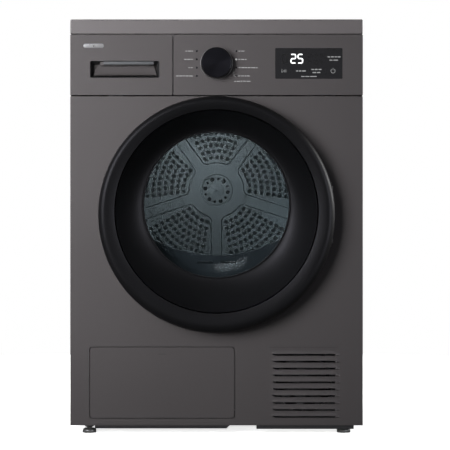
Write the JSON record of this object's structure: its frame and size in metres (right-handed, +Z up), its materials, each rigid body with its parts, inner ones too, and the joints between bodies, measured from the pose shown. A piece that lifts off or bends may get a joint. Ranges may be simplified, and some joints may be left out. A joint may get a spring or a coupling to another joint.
{
  "type": "clothes dryer",
  "caption": "Free-standing front-loading heat pump clothes dryer with a round glass door, a condensate tank drawer and a turning drum.",
  "frame": {"origin": "on the floor, under the middle of the whole machine", "axes": "+Z up, the door and controls face -Y, +X to the viewer's right"},
  "size_m": [0.6, 0.66, 0.85],
  "materials": {
    "body_grey": "satin warm grey paint",
    "worktop_grey": "fine-grained warm grey",
    "console_grey": "satin warm grey, matched to the panels",
    "door_black": "gloss bluish black",
    "door_glass": "lightly smoked clear glass",
    "display_black": "smoked gloss window",
    "knob_black": "spun black cap, gloss side",
    "black_plastic": "plain moulded black",
    "dark_grey_plastic": "plain moulded dark grey",
    "pale_plastic": "plain moulded pale grey",
    "galvanised": "zinc coated sheet",
    "drum_steel": "satin stainless steel",
    "drum_back_grey": "satin coated steel",
    "turned_steel": "bright turned steel",
    "foot_metal": "dull zinc",
    "felt": "dense grey felt",
    "rubber": "matt black rubber",
    "motor_dark": "black enamel",
    "fin_aluminium": "bare thin fins",
    "copper_tube": "bare copper",
    "board_green": "coated circuit board"
  },
  "bodies": {
    "cabinet": {"left_side_panel": "body_grey", "right_side_panel": "body_grey", "rear_panel": "galvanised", "rear_duct_cover": "galvanised", "rear_screws": "turned_steel", "worktop_frame": "worktop_grey", "worktop_board": "worktop_grey", "front_crossbar": "galvanised", "front_panel": "body_grey", "vent_louvres": "black_plastic", "base_pan": "black_plastic", "tank_cradle": "dark_grey_plastic", "console_fascia": "console_grey", "console_carrier": "black_plastic", "display_window": "display_black", "control_board": "board_green", "front_bulkhead": "dark_grey_plastic", "filter_housing": "dark_grey_plastic", "drum_front_felt": "felt", "rear_bearing_housing": "dark_grey_plastic", "drive_belt": "rubber", "motor": "motor_dark", "motor_bracket": "galvanised", "blower_casing": "dark_grey_plastic", "exchanger_housing": "dark_grey_plastic", "exchanger_cover": "dark_grey_plastic", "heat_exchangers": "fin_aluminium", "compressor": "motor_dark", "refrigerant_pipes": "copper_tube", "drain_pump": "black_plastic", "drain_spigot": "pale_plastic", "power_inlet": "black_plastic", "hinge_bracket": "motor_dark", "latch_catch": "black_plastic"},
    "door": {"door_outer_ring": "door_black", "door_inner_frame": "dark_grey_plastic", "door_bowl_trim": "door_black", "door_glass": "door_glass", "door_seal": "rubber", "hinge_pin": "motor_dark", "latch_hook": "turned_steel"},
    "drum": {"drum_shell": "drum_steel", "drum_back": "drum_back_grey", "drum_lifters": "pale_plastic", "drum_shaft": "turned_steel"},
    "rotor": {"motor_shaft": "turned_steel", "blower_wheel": "black_plastic"},
    "tank_drawer": {"drawer_front": "console_grey", "tank_body": "pale_plastic", "tank_lid": "pale_plastic"},
    "flap": {"service_flap": "body_grey"},
    "filter": {"lint_filter": "dark_grey_plastic"},
    "knob": {"program_knob": "knob_black"},
    "fan": {"cooling_fan": "black_plastic"},
    "lever_left": {"lock_lever_left": "pale_plastic"},
    "lever_right": {"lock_lever_right": "pale_plastic"},
    "foot_fl": {"foot_front_left": "foot_metal"},
    "foot_fr": {"foot_front_right": "foot_metal"},
    "foot_rl": {"foot_rear_left": "foot_metal"},
    "foot_rr": {"foot_rear_right": "foot_metal"}
  },
  "joints": [
    {"name": "door_hinge", "type": "hinge", "parent": "cabinet", "child": "door", "pos_m": [0.231, -0.303, 0.449], "axis": [0, 0, 1], "range_deg": [0, 125]},
    {"name": "drum_spin", "type": "hinge", "parent": "cabinet", "child": "drum", "pos_m": [0, 0.04, 0.51], "axis": [0, 1, 0], "continuous": true},
    {"name": "rotor_spin", "type": "hinge", "parent": "cabinet", "child": "rotor", "pos_m": [0.13, 0.15, 0.118], "axis": [0, 1, 0], "continuous": true},
    {"name": "tank_slide", "type": "slide", "parent": "cabinet", "child": "tank_drawer", "axis": [0, -1, 0], "range_m": [0, 0.42]},
    {"name": "flap_hinge", "type": "hinge", "parent": "cabinet", "child": "flap", "pos_m": [-0.1114, -0.272, 0.0413], "axis": [1, 0, 0], "range_deg": [0, 90]},
    {"name": "filter_lift", "type": "slide", "parent": "cabinet", "child": "filter", "axis": [0, 0, 1], "range_m": [0, 0.12]},
    {"name": "knob_turn", "type": "hinge", "parent": "cabinet", "child": "knob", "pos_m": [0, -0.285, 0.7596], "axis": [0, 1, 0], "continuous": true},
    {"name": "fan_spin", "type": "hinge", "parent": "cabinet", "child": "fan", "pos_m": [0.181, -0.255, 0.098], "axis": [0, 1, 0], "continuous": true},
    {"name": "lever_left_turn", "type": "hinge", "parent": "cabinet", "child": "lever_left", "pos_m": [-0.228, -0.245, 0.118], "axis": [0, 1, 0], "range_deg": [0, 90]},
    {"name": "lever_right_turn", "type": "hinge", "parent": "cabinet", "child": "lever_right", "pos_m": [0.02265, -0.245, 0.118], "axis": [0, 1, 0], "range_deg": [-90, 0]},
    {"name": "foot_fl_turn", "type": "hinge", "parent": "cabinet", "child": "foot_fl", "pos_m": [-0.2625, -0.25, 0.01], "axis": [0, 0, 1], "continuous": true},
    {"name": "foot_fr_turn", "type": "hinge", "parent": "cabinet", "child": "foot_fr", "pos_m": [0.2625, -0.25, 0.01], "axis": [0, 0, 1], "continuous": true},
    {"name": "foot_rl_turn", "type": "hinge", "parent": "cabinet", "child": "foot_rl", "pos_m": [-0.2625, 0.285, 0.01], "axis": [0, 0, 1], "continuous": true},
    {"name": "foot_rr_turn", "type": "hinge", "parent": "cabinet", "child": "foot_rr", "pos_m": [0.2625, 0.285, 0.01], "axis": [0, 0, 1], "continuous": true}
  ],
  "couplings": [
    {"joint": "rotor_spin", "follows": "drum_spin", "ratio": 20.357}
  ]
}
